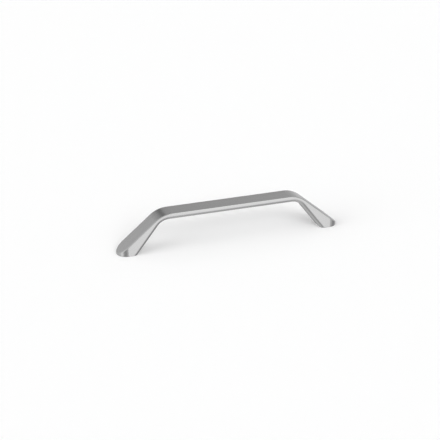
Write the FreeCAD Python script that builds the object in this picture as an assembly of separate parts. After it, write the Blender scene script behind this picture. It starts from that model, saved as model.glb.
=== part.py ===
"""Bail pull for a drawer or cabinet door, cast in one piece.

A flat bar bends down at both ends into wedge-shaped legs. The plan outline is a long
oval, so each leg ends in a half-round toe. The foot faces are flat, and each one has a
blind screw hole that opens in the fixing surface.

Millimetres. X runs along the bar, Y across it, and Z away from the surface that the pull
is screwed to. The origin is on that surface, midway between the two screw holes.
"""

import FreeCAD, Part
import math
import os

# Fixing: two machine screws with a 4 mm thread
SCREW_SPACING = 160.0       # between the two screw holes, a standard spacing
SCREW_THREAD_RADIUS = 2.0   # nominal thread radius
SCREW_MOUTH_CHAMFER = 0.4   # lead-in at the mouth of each hole
SCREW_DRILL_ANGLE = 118.0   # full angle of the drilled end of each hole
COVER_OVER_HOLE = 1.2       # metal left between the hole's wall and the sloping face

# Places along the pull, measured from each screw hole
HOLE_TO_TOE = 9.0           # outwards, to the end of the foot
HOLE_TO_HEEL = 5.75         # inwards, to the inner edge of the foot
HOLE_TO_BEND = 25.2         # inwards, to where the leg's slopes would meet the bar

# Section and height
WIDTH = 15.0                # across the bar and the feet
PROJECTION = 30.0           # height of the bar's flat top above the surface
BAR_THICKNESS = 5.05
TOE_WALL = 1.7              # upright wall at the very end of the toe
OUTER_BEND_RADIUS = 20.5
INNER_BEND_RADIUS = 11.0

# Edges
GRIP_ROUNDING = 3.0         # along the underside, where the fingers go
TOP_ROUNDING = 0.7          # round the whole rim of the upper face
FOOT_EDGE_BREAK = 0.2       # round each foot face

HOLE = SCREW_SPACING / 2
TOE = HOLE + HOLE_TO_TOE
HEEL = HOLE - HOLE_TO_HEEL
BEND = HOLE - HOLE_TO_BEND
UNDERSIDE = PROJECTION - BAR_THICKNESS
OUTER_SLOPE = math.atan2(PROJECTION - TOE_WALL, TOE - BEND)
INNER_SLOPE = math.atan2(UNDERSIDE, HEEL - BEND)


def point(x, z):
    return FreeCAD.Vector(x, 0, z)


def on_arc(corner_height, radius, slope, turn):
    """Point on the arc that blends a leg's slope into the level bar, after a turn
    measured from the bar's end of the arc."""
    centre = point(BEND - radius * math.tan(slope / 2), corner_height - radius)
    return centre + point(radius * math.sin(turn), radius * math.cos(turn))


def rail(foot, corner_height, radius, slope):
    """Edges from the right foot up the leg, over the bar and down to the left foot."""
    stops = [point(foot, 0)]
    stops += [on_arc(corner_height, radius, slope, turn) for turn in (slope, slope / 2, 0)]
    toe, leg_top, bend_middle, bar_end = stops
    left_toe, left_leg_top, left_bend_middle, left_bar_end = [point(-p.x, p.z) for p in stops]
    curves = [
        Part.LineSegment(toe, leg_top),
        Part.Arc(leg_top, bend_middle, bar_end),
        Part.LineSegment(bar_end, left_bar_end),
        Part.Arc(left_bar_end, left_bend_middle, left_leg_top),
        Part.LineSegment(left_leg_top, left_toe),
    ]
    return [curve.toShape() for curve in curves]


def side_profile():
    """The side view as a face in the XZ plane. Its toes run on to a point, outside the
    plan outline that trims them."""
    sharp_toe = TOE + TOE_WALL / math.tan(OUTER_SLOPE)
    upper = rail(sharp_toe, PROJECTION, OUTER_BEND_RADIUS, OUTER_SLOPE)
    lower = rail(HEEL, UNDERSIDE, INNER_BEND_RADIUS, INNER_SLOPE)
    left_foot = Part.LineSegment(point(-sharp_toe, 0), point(-HEEL, 0)).toShape()
    right_foot = Part.LineSegment(point(HEEL, 0), point(sharp_toe, 0)).toShape()
    return Part.Face(Part.Wire(upper + [left_foot] + lower[::-1] + [right_foot]))


def plan_prism():
    """The plan outline, a long oval with half-round ends, as a tall prism."""
    radius = WIDTH / 2
    height = 3 * PROJECTION
    corner = FreeCAD.Vector(radius - TOE, -radius, -PROJECTION)
    prism = Part.makeBox(2 * (TOE - radius), WIDTH, height, corner)
    for x in (radius - TOE, TOE - radius):
        end = Part.makeCylinder(radius, height, FreeCAD.Vector(x, 0, -PROJECTION))
        prism = prism.fuse(end)
    return prism.removeSplitter()


def blank():
    """The side profile drawn out across the bar and trimmed to the plan outline."""
    profile = side_profile()
    profile.translate(FreeCAD.Vector(0, -WIDTH, 0))
    return profile.extrude(FreeCAD.Vector(0, 2 * WIDTH, 0)).common(plan_prism())


def lean(face):
    """How far a face looks upwards at its middle: 1 is straight up, 0 is upright."""
    u_low, u_high, v_low, v_high = face.ParameterRange
    return face.normalAt((u_low + u_high) / 2, (v_low + v_high) / 2).z


def looks_up(face):
    return lean(face) > 0.1


def is_upright(face):
    return abs(lean(face)) < 0.1


def is_foot(face):
    return lean(face) < -0.1 and face.BoundBox.ZMax < FOOT_EDGE_BREAK


def is_underside(face):
    return lean(face) < -0.1 and not is_foot(face)


def edges_between(solid, is_first_kind, is_second_kind):
    """Edges where a face of one kind meets a face of another kind."""
    edges = []
    for edge in solid.Edges:
        faces = solid.ancestorsOfType(edge, Part.Face)
        if any(map(is_first_kind, faces)) and any(map(is_second_kind, faces)):
            edges.append(edge)
    return edges


def foot_edges(solid):
    return [edge for face in solid.Faces if is_foot(face) for edge in face.Edges]


def thinnest_wall():
    """Thickness of the metal at the middle of a bend, where the legs leave the bar."""
    inside = on_arc(UNDERSIDE, INNER_BEND_RADIUS, INNER_SLOPE, INNER_SLOPE / 2)
    outer_centre = on_arc(PROJECTION, OUTER_BEND_RADIUS, OUTER_SLOPE, 0) - point(0, OUTER_BEND_RADIUS)
    return OUTER_BEND_RADIUS - inside.distanceToPoint(outer_centre)


def rounded(solid):
    """The solid with its underside, rim and feet rounded. The grip's rounding leaves the
    bend at least a narrow flat beside the rim's."""
    room = thinnest_wall() - TOP_ROUNDING - FOOT_EDGE_BREAK
    solid = solid.makeFillet(min(GRIP_ROUNDING, room), edges_between(solid, is_underside, is_upright))
    solid = solid.makeFillet(TOP_ROUNDING, edges_between(solid, looks_up, is_upright))
    return solid.makeFillet(FOOT_EDGE_BREAK, foot_edges(solid))


def screw_hole(x):
    """A blind hole with a drilled end, as deep as the cover over it allows."""
    rim_over_wall = TOE_WALL + (HOLE_TO_TOE - SCREW_THREAD_RADIUS) * math.tan(OUTER_SLOPE)
    depth = rim_over_wall - COVER_OVER_HOLE / math.cos(OUTER_SLOPE)
    drill_point = SCREW_THREAD_RADIUS / math.tan(math.radians(SCREW_DRILL_ANGLE / 2))
    mouth = SCREW_THREAD_RADIUS + SCREW_MOUTH_CHAMFER
    outline = Part.makePolygon([
        point(0, -PROJECTION),
        point(mouth, -PROJECTION),
        point(mouth, 0),
        point(SCREW_THREAD_RADIUS, SCREW_MOUTH_CHAMFER),
        point(SCREW_THREAD_RADIUS, depth),
        point(0, depth + drill_point),
        point(0, -PROJECTION),
    ])
    hole = Part.Face(outline).revolve(point(0, 0), point(0, 1), 360)
    hole.translate(point(x, 0))
    return hole


def pull():
    solid = rounded(blank())
    for x in (-HOLE, HOLE):
        solid = solid.cut(screw_hole(x))
    return solid


os.makedirs("parts", exist_ok=True)
pull().exportStep("parts/pull.step")
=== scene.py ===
"""Looks of a one-piece bail pull: a zinc die casting, brushed lengthwise and plated satin nickel.

Metres, in the frame of the CAD model: X along the bar, Z away from the fixing surface.
"""

import math

import bpy
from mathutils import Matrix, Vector


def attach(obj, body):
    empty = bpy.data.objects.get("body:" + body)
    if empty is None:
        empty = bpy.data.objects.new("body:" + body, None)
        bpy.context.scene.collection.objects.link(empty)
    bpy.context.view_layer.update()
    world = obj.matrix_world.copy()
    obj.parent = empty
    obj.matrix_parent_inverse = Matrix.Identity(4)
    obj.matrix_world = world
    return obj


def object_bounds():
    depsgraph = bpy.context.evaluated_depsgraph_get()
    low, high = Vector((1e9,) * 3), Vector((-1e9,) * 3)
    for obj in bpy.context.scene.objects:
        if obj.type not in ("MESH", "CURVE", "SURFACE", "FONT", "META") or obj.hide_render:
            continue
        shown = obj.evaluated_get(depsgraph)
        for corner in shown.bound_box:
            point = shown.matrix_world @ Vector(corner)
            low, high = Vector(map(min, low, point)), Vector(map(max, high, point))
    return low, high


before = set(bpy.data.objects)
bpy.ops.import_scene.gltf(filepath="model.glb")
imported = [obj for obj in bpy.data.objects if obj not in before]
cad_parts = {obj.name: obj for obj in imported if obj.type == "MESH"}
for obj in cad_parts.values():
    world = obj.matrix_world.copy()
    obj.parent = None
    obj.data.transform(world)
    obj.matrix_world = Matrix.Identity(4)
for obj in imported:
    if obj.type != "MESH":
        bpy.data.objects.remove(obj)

MM = 0.001
CAD_LOW, CAD_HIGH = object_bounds()

# Places on the pull
BAR_TOP = CAD_HIGH[2]
TOE_WALL = 1.7 * MM             # upright wall at the end of each toe, below the leg's slope
BEND_FROM_TOE = 34.2 * MM       # along X, to where the leg's slope would meet the bar's top
BEND = CAD_HIGH[0] - BEND_FROM_TOE
LEG_SLOPE = math.atan2(BAR_TOP - TOE_WALL, BEND_FROM_TOE)
HOLE_FROM_TOE = 9 * MM          # along X, to the middle of the screw hole
HOLE = CAD_HIGH[0] - HOLE_FROM_TOE      # to each side of the middle
HOLE_MOUTH_RADIUS = 2.42 * MM   # just past the lead-in
HOLE_DEPTH = 7.0 * MM           # nearly to the drilled point

# Thread in each screw hole: M4, coarse
THREAD_RADIUS = 2.0 * MM
THREAD_PITCH = 0.7 * MM
THREAD_DEPTH = 0.38 * MM        # from the wall to the crest
THREAD_ROOT_WIDTH = 0.61 * MM   # width of the ridge at the wall
THREAD_CREST_WIDTH = 0.18 * MM
THREAD_START = 0.5 * MM         # just inside the mouth
THREAD_LENGTH = 5.0 * MM
THREAD_FADE = 0.06              # share of the ridge over which each end fades out
THREAD_TIP = 0.05               # scale of the ridge at its very ends
THREAD_STEPS = 40               # points in one turn
SUNK = 0.04 * MM                # into the wall, past the flats of its facets

# Camera, fitted to the pull's edges
VIEW_AZIMUTH = -20.02           # degrees from straight ahead, towards the left end
VIEW_ELEVATION = 23.07
VIEW_DISTANCE = 1.0133
VIEW_TARGET = Vector((-0.0043, 0.0073, 0.0126))
LENS = 108.15                   # mm, for the film width below
FILM_WIDTH = 36                 # mm
NEAREST_SEEN = 10 * MM

# Studio
FLOOR_HALF_SIZE = 40.0
FLOOR_COLOUR = "#FDFDFD"
ROOM_COLOUR = "#FFFFFF"
ROOM_BRIGHTNESS = 0.67
ALL_ROUND = 400                 # degrees, for a panel that has no ends

# Satin nickel
NICKEL_LIGHT = "#CFCFCF"
NICKEL_DARK = "#C5C5C5"
NICKEL_ROUGHNESS = 0.20
ROUGHNESS_SPREAD = 0.05
LINE_SPACING = 1.2 * MM         # between the broadest streaks
LINE_LENGTH = 70 * MM
LINE_DEPTH = 0.012 * MM
FINER_SETS = 3.0                # of lines between the streaks, each set twice as fine
FINER_WEIGHT = 0.65             # of each set against the one before it
BEND_BLEND = 5 * MM             # how gently the lines turn at a bend
SIDE_TILT = 0.25                # height of the normal up to which a face is one of the sides
LEVEL_TILT = 0.55               # and from which it is part of the top or the underside

# Bare zinc in the tapped holes
ZINC_COLOUR = "#B4B6B8"
ZINC_SHADE = "#9A9C9F"
ZINC_ROUGHNESS = 0.42
TAP_MARK_SPACING = 0.09 * MM    # fine rings that the tap leaves on the thread
TAP_MARK_LENGTH = 1.5 * MM
TAP_MARK_DEPTH = 0.004 * MM
FINER_MARKS = 2.0               # sets of finer rings between them

NOISE_LOW, NOISE_HIGH = 0.25, 0.75      # nearly all of a noise lies between them


def linear(hex_colour):
    """An sRGB hex colour as linear red, green, blue and alpha."""
    channels = [int(hex_colour[i:i + 2], 16) / 255 for i in (1, 3, 5)]
    return [c / 12.92 if c <= 0.04045 else ((c + 0.055) / 1.055) ** 2.4 for c in channels] + [1]


def direction(azimuth, elevation):
    """Unit vector towards a place in the room, from angles in degrees. Azimuth runs from
    straight ahead of the pull towards its right end."""
    azimuth = math.radians(azimuth)
    elevation = math.radians(elevation)
    return Vector((
        math.sin(azimuth) * math.cos(elevation),
        -math.cos(azimuth) * math.cos(elevation),
        math.sin(elevation),
    ))


def add_node(tree, kind, inputs=None, **settings):
    """Adds a node, applies its settings, and feeds its inputs from sockets or values."""
    node = tree.nodes.new(kind)
    for name, value in settings.items():
        setattr(node, name, value)
    for key, value in (inputs or {}).items():
        if isinstance(value, bpy.types.NodeSocket):
            tree.links.new(value, node.inputs[key])
        else:
            node.inputs[key].default_value = value
    return node


def new_material(name):
    material = bpy.data.materials.new(name)
    material.use_nodes = True
    material.node_tree.nodes.clear()
    return material, material.node_tree


def panel(tree, total, strength, centre, half_size, edge):
    """Adds one soft panel to the room's light so far, or takes away a dark flag's share, where
    the strength is below 0. Its centre is an azimuth and an elevation, and its half size runs
    across and up, all in degrees, as is the softness of its edge."""
    azimuth, elevation = centre
    sky = add_node(tree, "ShaderNodeTexCoord")
    turned = add_node(
        tree, "ShaderNodeVectorRotate",
        {"Vector": sky.outputs["Generated"], "Angle": -math.radians(azimuth)},
        rotation_type="Z_AXIS",
    )
    split = add_node(tree, "ShaderNodeSeparateXYZ", {"Vector": turned.outputs["Vector"]})
    front = add_node(tree, "ShaderNodeMath", {0: split.outputs["Y"], 1: -1.0}, operation="MULTIPLY")
    across = add_node(
        tree, "ShaderNodeMath", {0: split.outputs["X"], 1: front.outputs[0]}, operation="ARCTAN2"
    )
    height = add_node(tree, "ShaderNodeMath", {0: split.outputs["Z"]}, operation="ARCSINE")
    raised = add_node(
        tree, "ShaderNodeMath", {0: height.outputs[0], 1: math.radians(elevation)}, operation="SUBTRACT"
    )
    light = strength
    for angle, half in zip((across, raised), half_size):
        offset = add_node(tree, "ShaderNodeMath", {0: angle.outputs[0]}, operation="ABSOLUTE")
        window = add_node(
            tree, "ShaderNodeMapRange",
            {
                "Value": offset.outputs[0],
                "From Min": math.radians(half + edge),
                "From Max": math.radians(half - edge),
            },
            interpolation_type="SMOOTHSTEP",
        )
        lit = add_node(tree, "ShaderNodeMath", {0: window.outputs["Result"], 1: light}, operation="MULTIPLY")
        light = lit.outputs[0]
    return add_node(tree, "ShaderNodeMath", {0: total, 1: light}, operation="ADD").outputs[0]


def make_studio_light():
    """The room that the metal mirrors: a pale one with soft light cards on the camera's side,
    and dark flags, which give the bends, the toes and the grip's edge something to mirror."""
    world = bpy.data.worlds.new("soft_studio")
    world.use_nodes = True
    bpy.context.scene.world = world
    tree = world.node_tree
    tree.nodes.clear()
    total = ROOM_BRIGHTNESS

    # Cards: three over the camera, for the rims; then low in front, for the sides, and to the left
    total = panel(tree, total, strength=0.3, centre=(0, 35), half_size=(30, 15), edge=10)
    total = panel(tree, total, strength=0.5, centre=(22, 20), half_size=(8, 12), edge=8)
    total = panel(tree, total, strength=0.8, centre=(30, 46), half_size=(14, 18), edge=8)
    total = panel(tree, total, strength=0.6, centre=(20, -15), half_size=(8, 20), edge=8)
    total = panel(tree, total, strength=0.4, centre=(-60, -20), half_size=(20, 10), edge=10)
    total = panel(tree, total, strength=0.2, centre=(-75, 15), half_size=(35, 22), edge=12)

    # Flags low in front and at the right end, for the grip's edge and the toes
    total = panel(tree, total, strength=-0.3, centre=(-25, -35), half_size=(25, 25), edge=10)
    total = panel(tree, total, strength=-0.45, centre=(75, -45), half_size=(25, 25), edge=10)
    total = panel(tree, total, strength=-0.3, centre=(90, 20), half_size=(12, 10), edge=8)

    # Flags behind, for the bar's top and its bends
    total = panel(tree, total, strength=-0.27, centre=(178, 30), half_size=(25, 15), edge=10)
    total = panel(tree, total, strength=-0.2, centre=(182, 30), half_size=(6, 12), edge=4)
    total = panel(tree, total, strength=-0.2, centre=(140, 20), half_size=(12, 12), edge=8)
    total = panel(tree, total, strength=-0.3, centre=(165, -30), half_size=(25, 15), edge=10)

    # A darker ceiling
    total = panel(tree, total, strength=-0.3, centre=(0, 90), half_size=(ALL_ROUND, 35), edge=15)

    # Flags take away no more light than there is
    total = add_node(tree, "ShaderNodeMath", {0: total, 1: 0.0}, operation="MAXIMUM").outputs[0]
    background = add_node(tree, "ShaderNodeBackground", {"Color": linear(ROOM_COLOUR), "Strength": total})
    add_node(tree, "ShaderNodeOutputWorld", {"Surface": background.outputs[0]})


def add_soft_lamp(name, strength, azimuth, elevation, spread):
    """A distant soft lamp for the paper under the pull, which gives the pull its shadow. The
    metal mirrors the room instead, so that no face burns out from a lamp in any view."""
    data = bpy.data.lights.new(name, "SUN")
    data.energy = strength
    data.angle = math.radians(spread)
    lamp = bpy.data.objects.new(name, data)
    lamp.rotation_mode = "QUATERNION"
    lamp.rotation_quaternion = direction(azimuth, elevation).to_track_quat("Z", "Y")
    lamp.visible_glossy = False
    bpy.context.scene.collection.objects.link(lamp)


def make_floor():
    """A plain pale sheet under the pull, clear from below so that the feet can be seen.
    The metal mirrors the darker room instead of the sheet, which keeps the pull's lower edges
    crisp."""
    mesh = bpy.data.meshes.new("floor")
    s = FLOOR_HALF_SIZE
    mesh.from_pydata([(-s, -s, 0), (s, -s, 0), (s, s, 0), (-s, s, 0)], [], [(0, 1, 2, 3)])
    floor = bpy.data.objects.new("floor", mesh)
    bpy.context.scene.collection.objects.link(floor)
    material, tree = new_material("white_paper")
    paper = add_node(tree, "ShaderNodeBsdfDiffuse", {"Color": linear(FLOOR_COLOUR)})
    clear = add_node(tree, "ShaderNodeBsdfTransparent")
    side = add_node(tree, "ShaderNodeNewGeometry")
    mix = add_node(
        tree, "ShaderNodeMixShader",
        {"Fac": side.outputs["Backfacing"], 1: paper.outputs[0], 2: clear.outputs[0]},
    )
    add_node(tree, "ShaderNodeOutputMaterial", {"Surface": mix.outputs[0]})
    mesh.materials.append(material)
    floor.visible_glossy = False
    floor.visible_shadow = False


def make_camera():
    back = direction(VIEW_AZIMUTH, VIEW_ELEVATION)
    data = bpy.data.cameras.new("camera")
    data.lens = LENS
    data.sensor_width = FILM_WIDTH
    data.clip_start = NEAREST_SEEN
    camera = bpy.data.objects.new("camera", data)
    camera.location = VIEW_TARGET + back * VIEW_DISTANCE
    camera.rotation_mode = "QUATERNION"
    camera.rotation_quaternion = back.to_track_quat("Z", "Y")
    bpy.context.scene.collection.objects.link(camera)
    bpy.context.scene.camera = camera


def brush_lines(tree, place, normal):
    """Height of the brushed lines, 0 to 1. They run along the pull: side by side across its
    top and underside, and one below the other on its sides, where they follow the bends."""
    drop = add_node(tree, "ShaderNodeMath", {0: BAR_TOP, 1: place.outputs["Z"]}, operation="SUBTRACT")
    reach = add_node(tree, "ShaderNodeMath", {0: place.outputs["X"]}, operation="ABSOLUTE")
    shift = add_node(
        tree, "ShaderNodeMath",
        {0: reach.outputs[0], 1: -math.sin(LEG_SLOPE), 2: BEND * math.sin(LEG_SLOPE)},
        operation="MULTIPLY_ADD",
    )
    below_slope = add_node(
        tree, "ShaderNodeMath",
        {0: drop.outputs[0], 1: math.cos(LEG_SLOPE), 2: shift.outputs[0]},
        operation="MULTIPLY_ADD",
    )
    below_rim = add_node(
        tree, "ShaderNodeMath",
        {0: drop.outputs[0], 1: below_slope.outputs[0], 2: BEND_BLEND},
        operation="SMOOTH_MIN",
    )
    tilt = add_node(tree, "ShaderNodeMath", {0: normal.outputs["Z"]}, operation="ABSOLUTE")
    level = add_node(
        tree, "ShaderNodeMapRange",
        {"Value": tilt.outputs[0], "From Min": SIDE_TILT, "From Max": LEVEL_TILT},
    )
    across = add_node(
        tree, "ShaderNodeMix",
        {"Factor": level.outputs["Result"], "A": below_rim.outputs[0], "B": place.outputs["Y"]},
        data_type="FLOAT",
    )
    along = add_node(
        tree, "ShaderNodeMath", {0: place.outputs["X"], 1: 1 / LINE_LENGTH}, operation="MULTIPLY"
    )
    spread = add_node(
        tree, "ShaderNodeMath", {0: across.outputs["Result"], 1: 1 / LINE_SPACING}, operation="MULTIPLY"
    )
    grain = add_node(tree, "ShaderNodeCombineXYZ", {"X": along.outputs[0], "Y": spread.outputs[0]})
    lines = add_node(
        tree, "ShaderNodeTexNoise",
        {"Vector": grain.outputs[0], "Scale": 1.0, "Detail": FINER_SETS, "Roughness": FINER_WEIGHT},
        noise_dimensions="2D",
    )
    return lines.outputs["Fac"]


def inside_holes(tree, place):
    """1 on the walls of the two screw holes, 0 elsewhere."""
    reach = add_node(tree, "ShaderNodeMath", {0: place.outputs["X"]}, operation="ABSOLUTE")
    offset = add_node(tree, "ShaderNodeMath", {0: reach.outputs[0], 1: HOLE}, operation="SUBTRACT")
    flat = add_node(tree, "ShaderNodeCombineXYZ", {"X": offset.outputs[0], "Y": place.outputs["Y"]})
    radius = add_node(tree, "ShaderNodeVectorMath", {0: flat.outputs[0]}, operation="LENGTH")
    near = add_node(
        tree, "ShaderNodeMath", {0: radius.outputs["Value"], 1: HOLE_MOUTH_RADIUS}, operation="LESS_THAN"
    )
    low = add_node(tree, "ShaderNodeMath", {0: place.outputs["Z"], 1: HOLE_DEPTH}, operation="LESS_THAN")
    both = add_node(tree, "ShaderNodeMath", {0: near.outputs[0], 1: low.outputs[0]}, operation="MULTIPLY")
    return both.outputs[0]


def brushed_nickel():
    """Satin nickel plate on a die casting that was brushed lengthwise with a fine belt. It
    mirrors the room softly, and light catches the lines across their run. The real lines are
    under 0.1 mm apart; these are drawn coarser so that they show. The tapped holes are bare."""
    material, tree = new_material("satin_nickel")
    coordinates = add_node(tree, "ShaderNodeTexCoord")
    place = add_node(tree, "ShaderNodeSeparateXYZ", {"Vector": coordinates.outputs["Object"]})
    normal = add_node(tree, "ShaderNodeSeparateXYZ", {"Vector": coordinates.outputs["Normal"]})
    lines = brush_lines(tree, place, normal)
    bare = inside_holes(tree, place)
    plate = add_node(
        tree, "ShaderNodeMix",
        {"Factor": lines, "A": linear(NICKEL_DARK), "B": linear(NICKEL_LIGHT)},
        data_type="RGBA",
    )
    colour = add_node(
        tree, "ShaderNodeMix",
        {"Factor": bare, "A": plate.outputs["Result"], "B": linear(ZINC_COLOUR)},
        data_type="RGBA",
    )
    plate_roughness = add_node(
        tree, "ShaderNodeMapRange",
        {
            "Value": lines,
            "From Min": NOISE_LOW,
            "From Max": NOISE_HIGH,
            "To Min": NICKEL_ROUGHNESS - ROUGHNESS_SPREAD / 2,
            "To Max": NICKEL_ROUGHNESS + ROUGHNESS_SPREAD / 2,
        },
    )
    roughness = add_node(
        tree, "ShaderNodeMix",
        {"Factor": bare, "A": plate_roughness.outputs["Result"], "B": ZINC_ROUGHNESS},
        data_type="FLOAT",
    )
    relief = add_node(
        tree, "ShaderNodeBump", {"Strength": 1.0, "Distance": LINE_DEPTH, "Height": lines}
    )
    metal = add_node(
        tree, "ShaderNodeBsdfPrincipled",
        {
            "Base Color": colour.outputs["Result"],
            "Metallic": 1.0,
            "Roughness": roughness.outputs["Result"],
            "Normal": relief.outputs["Normal"],
        },
    )
    add_node(tree, "ShaderNodeOutputMaterial", {"Surface": metal.outputs[0]})
    return material


def tapped_zinc():
    """Bare zinc alloy where the tap has cut: a dull silver grey, a little blue, with fine
    rings left by the tap's teeth. It is much duller than the plate around it."""
    material, tree = new_material("tapped_zinc")
    coordinates = add_node(tree, "ShaderNodeTexCoord")
    rings = add_node(
        tree, "ShaderNodeMapping",
        {
            "Vector": coordinates.outputs["Object"],
            "Scale": (1 / TAP_MARK_LENGTH, 1 / TAP_MARK_LENGTH, 1 / TAP_MARK_SPACING),
        },
    )
    marks = add_node(
        tree, "ShaderNodeTexNoise",
        {"Vector": rings.outputs["Vector"], "Scale": 1.0, "Detail": FINER_MARKS},
        noise_dimensions="3D",
    )
    colour = add_node(
        tree, "ShaderNodeMix",
        {"Factor": marks.outputs["Fac"], "A": linear(ZINC_SHADE), "B": linear(ZINC_COLOUR)},
        data_type="RGBA",
    )
    roughness = add_node(
        tree, "ShaderNodeMapRange",
        {
            "Value": marks.outputs["Fac"],
            "To Min": ZINC_ROUGHNESS - ROUGHNESS_SPREAD,
            "To Max": ZINC_ROUGHNESS + ROUGHNESS_SPREAD,
        },
    )
    relief = add_node(
        tree, "ShaderNodeBump",
        {"Strength": 1.0, "Distance": TAP_MARK_DEPTH, "Height": marks.outputs["Fac"]},
    )
    metal = add_node(
        tree, "ShaderNodeBsdfPrincipled",
        {
            "Base Color": colour.outputs["Result"],
            "Metallic": 1.0,
            "Roughness": roughness.outputs["Result"],
            "Normal": relief.outputs["Normal"],
        },
    )
    add_node(tree, "ShaderNodeOutputMaterial", {"Surface": metal.outputs[0]})
    return material


def one_thread(tree, size):
    """Nodes for one thread that stands on the origin: a ridge with a flat crest, swept up a
    helix and faded out at its two ends."""
    turns = add_node(tree, "ShaderNodeMath", {0: size["Length"], 1: size["Pitch"]}, operation="DIVIDE")
    helix = add_node(
        tree, "GeometryNodeCurveSpiral",
        {
            "Resolution": THREAD_STEPS,
            "Rotations": turns.outputs[0],
            "Start Radius": size["Wall Radius"],
            "End Radius": size["Wall Radius"],
            "Height": size["Length"],
            "Reverse": True,
        },
    )
    upright = add_node(
        tree, "GeometryNodeSetCurveNormal", {"Curve": helix.outputs["Curve"]}, mode="Z_UP"
    )
    ridge = add_node(
        tree, "GeometryNodeCurvePrimitiveQuadrilateral",
        {
            "Height": size["Ridge Height"],
            "Bottom Width": size["Root Width"],
            "Top Width": size["Crest Width"],
            "Offset": 0.0,
        },
        mode="TRAPEZOID",
    )
    half = add_node(tree, "ShaderNodeMath", {0: size["Ridge Height"], 1: 0.5}, operation="MULTIPLY")
    lift = add_node(tree, "ShaderNodeCombineXYZ", {"Y": half.outputs[0]})
    standing = add_node(
        tree, "GeometryNodeTransform",
        {"Geometry": ridge.outputs["Curve"], "Translation": lift.outputs[0]},
    )
    profile = add_node(
        tree, "GeometryNodeTransform",
        {"Geometry": standing.outputs["Geometry"], "Rotation": (0, 0, math.pi / 2)},
    )
    way = add_node(tree, "GeometryNodeSplineParameter")
    way_left = add_node(tree, "ShaderNodeMath", {0: 1.0, 1: way.outputs["Factor"]}, operation="SUBTRACT")
    from_end = add_node(
        tree, "ShaderNodeMath", {0: way.outputs["Factor"], 1: way_left.outputs[0]}, operation="MINIMUM"
    )
    fade = add_node(
        tree, "ShaderNodeMapRange",
        {"Value": from_end.outputs[0], "From Max": size["Fade"], "To Min": THREAD_TIP, "To Max": 1.0},
    )
    thread = add_node(
        tree, "GeometryNodeCurveToMesh",
        {
            "Curve": upright.outputs["Curve"],
            "Profile Curve": profile.outputs["Geometry"],
            "Scale": fade.outputs["Result"],
            "Fill Caps": True,
        },
    )
    return thread.outputs["Mesh"]


def in_both_holes(tree, size, thread):
    """Nodes that put one thread into each screw hole, as real geometry."""
    left = add_node(tree, "ShaderNodeMath", {0: size["Hole Offset"], 1: -1.0}, operation="MULTIPLY")
    start = add_node(tree, "ShaderNodeCombineXYZ", {"X": left.outputs[0], "Z": size["Start"]})
    end = add_node(tree, "ShaderNodeCombineXYZ", {"X": size["Hole Offset"], "Z": size["Start"]})
    holes = add_node(
        tree, "GeometryNodeMeshLine",
        {"Count": 2, "Start Location": start.outputs[0], "Offset": end.outputs[0]},
        mode="END_POINTS",
    )
    both = add_node(
        tree, "GeometryNodeInstanceOnPoints", {"Points": holes.outputs["Mesh"], "Instance": thread}
    )
    real = add_node(tree, "GeometryNodeRealizeInstances", {"Geometry": both.outputs["Instances"]})
    return real.outputs["Geometry"]


def make_screw_threads(metal):
    """The tapped thread of both holes, cut by an M4 tap: a ridge that winds up each wall."""
    sizes = {
        "Hole Offset": HOLE,
        "Wall Radius": THREAD_RADIUS + SUNK,
        "Start": THREAD_START,
        "Length": THREAD_LENGTH,
        "Pitch": THREAD_PITCH,
        "Ridge Height": THREAD_DEPTH + SUNK,
        "Root Width": THREAD_ROOT_WIDTH,
        "Crest Width": THREAD_CREST_WIDTH,
        "Fade": THREAD_FADE,
    }
    tree = bpy.data.node_groups.new("screw_threads", "GeometryNodeTree")
    tree.interface.new_socket("Geometry", in_out="OUTPUT", socket_type="NodeSocketGeometry")
    sockets = {}
    for name in sizes:
        socket = tree.interface.new_socket(name, in_out="INPUT", socket_type="NodeSocketFloat")
        sockets[name] = socket.identifier
    size = add_node(tree, "NodeGroupInput").outputs
    geometry = in_both_holes(tree, size, one_thread(tree, size))
    finished = add_node(tree, "GeometryNodeSetMaterial", {"Geometry": geometry, "Material": metal})
    add_node(tree, "NodeGroupOutput", {"Geometry": finished.outputs["Geometry"]})

    threads = bpy.data.objects.new("screw_threads", bpy.data.meshes.new("screw_threads"))
    bpy.context.scene.collection.objects.link(threads)
    modifier = threads.modifiers.new("thread", "NODES")
    modifier.node_group = tree
    for name, value in sizes.items():
        modifier[sockets[name]] = value
    evaluated = threads.evaluated_get(bpy.context.evaluated_depsgraph_get())
    mesh = bpy.data.meshes.new_from_object(evaluated)
    mesh.materials.pop(index=0)     # Set Material leaves an empty slot before its own
    threads.modifiers.remove(modifier)
    threads.data = mesh
    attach(threads, "root")


bpy.context.scene.view_settings.view_transform = "Standard"
make_camera()
make_floor()
make_studio_light()
add_soft_lamp("front_lamp", strength=1.1, azimuth=0, elevation=32, spread=30)
add_soft_lamp("left_lamp", strength=1.5, azimuth=-75, elevation=25, spread=50)

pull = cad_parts["pull"]
pull.data.materials.clear()
pull.data.materials.append(brushed_nickel())
make_screw_threads(tapped_zinc())
